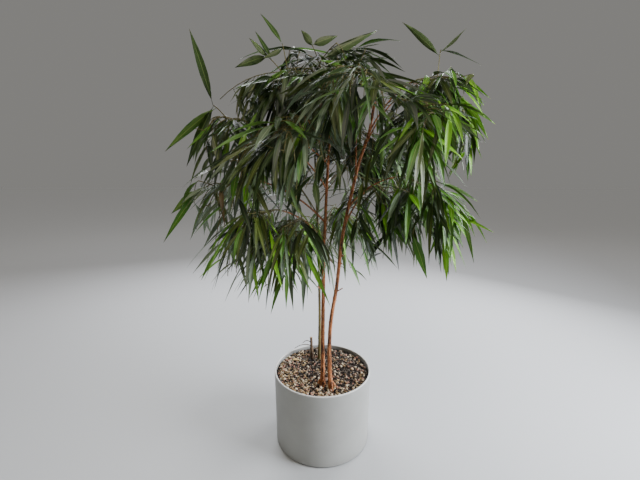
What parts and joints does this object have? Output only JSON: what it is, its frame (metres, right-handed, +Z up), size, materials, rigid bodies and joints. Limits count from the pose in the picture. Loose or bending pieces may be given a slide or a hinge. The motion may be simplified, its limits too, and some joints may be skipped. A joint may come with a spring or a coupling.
{
  "type": "potted long-leaf fig",
  "caption": "Tall indoor shrub with slim stems, boughs and hanging narrow leaves, rooted in a round planter topped with gravel, to stand free on a floor.",
  "frame": {"origin": "centre of the planter's flat underside, on the floor", "axes": "+Z up, -Y towards the front of the plant as pictured, +X to its right"},
  "size_m": [1.4509, 1.1738, 2.054],
  "materials": {
    "planter": "smooth light grey, satin",
    "soil": "damp dark potting mix",
    "gravel": "small mixed pebbles",
    "bark": "smooth orange-brown bark with lenticels",
    "green_bark": "olive-brown young bark",
    "dead_wood": "dry grey-brown wood",
    "leaves": "satin dark green leaf",
    "young_leaves": "satin bright green leaf"
  },
  "bodies": {
    "root": {"pot": "planter", "potting_soil": "soil", "gravel_layer": "gravel", "stem_left": "bark", "stem_right": "bark", "stem_back": "green_bark", "bough_top_left": "bark", "bough_far_left": "bark", "bough_left": "bark", "bough_left_low": "bark", "bough_low_left": "bark", "bough_low_front": "bark", "bough_front_left": "bark", "bough_front": "bark", "bough_right_top": "bark", "bough_right_outer": "bark", "bough_right_inner": "bark", "bough_right_low": "bark", "bough_right_mid": "bark", "bough_middle": "bark", "bough_back_left": "green_bark", "bough_back_right": "green_bark", "bough_back_low": "green_bark", "dead_stub": "dead_wood", "leaves_crown_top": "leaves", "leaves_top_left": "leaves", "leaves_far_left": "leaves", "leaves_left": "leaves", "leaves_left_low": "leaves", "leaves_low_left": "leaves", "leaves_low_front": "leaves", "leaves_front_left": "leaves", "leaves_front": "leaves", "leaves_right_top": "young_leaves", "leaves_right_outer": "young_leaves", "leaves_right_inner": "young_leaves", "leaves_right_low": "young_leaves", "leaves_right_mid": "young_leaves", "leaves_middle": "leaves", "leaves_back_left": "leaves", "leaves_back": "leaves", "leaves_back_right": "leaves", "leaves_back_low": "leaves"}
  },
  "joints": []
}
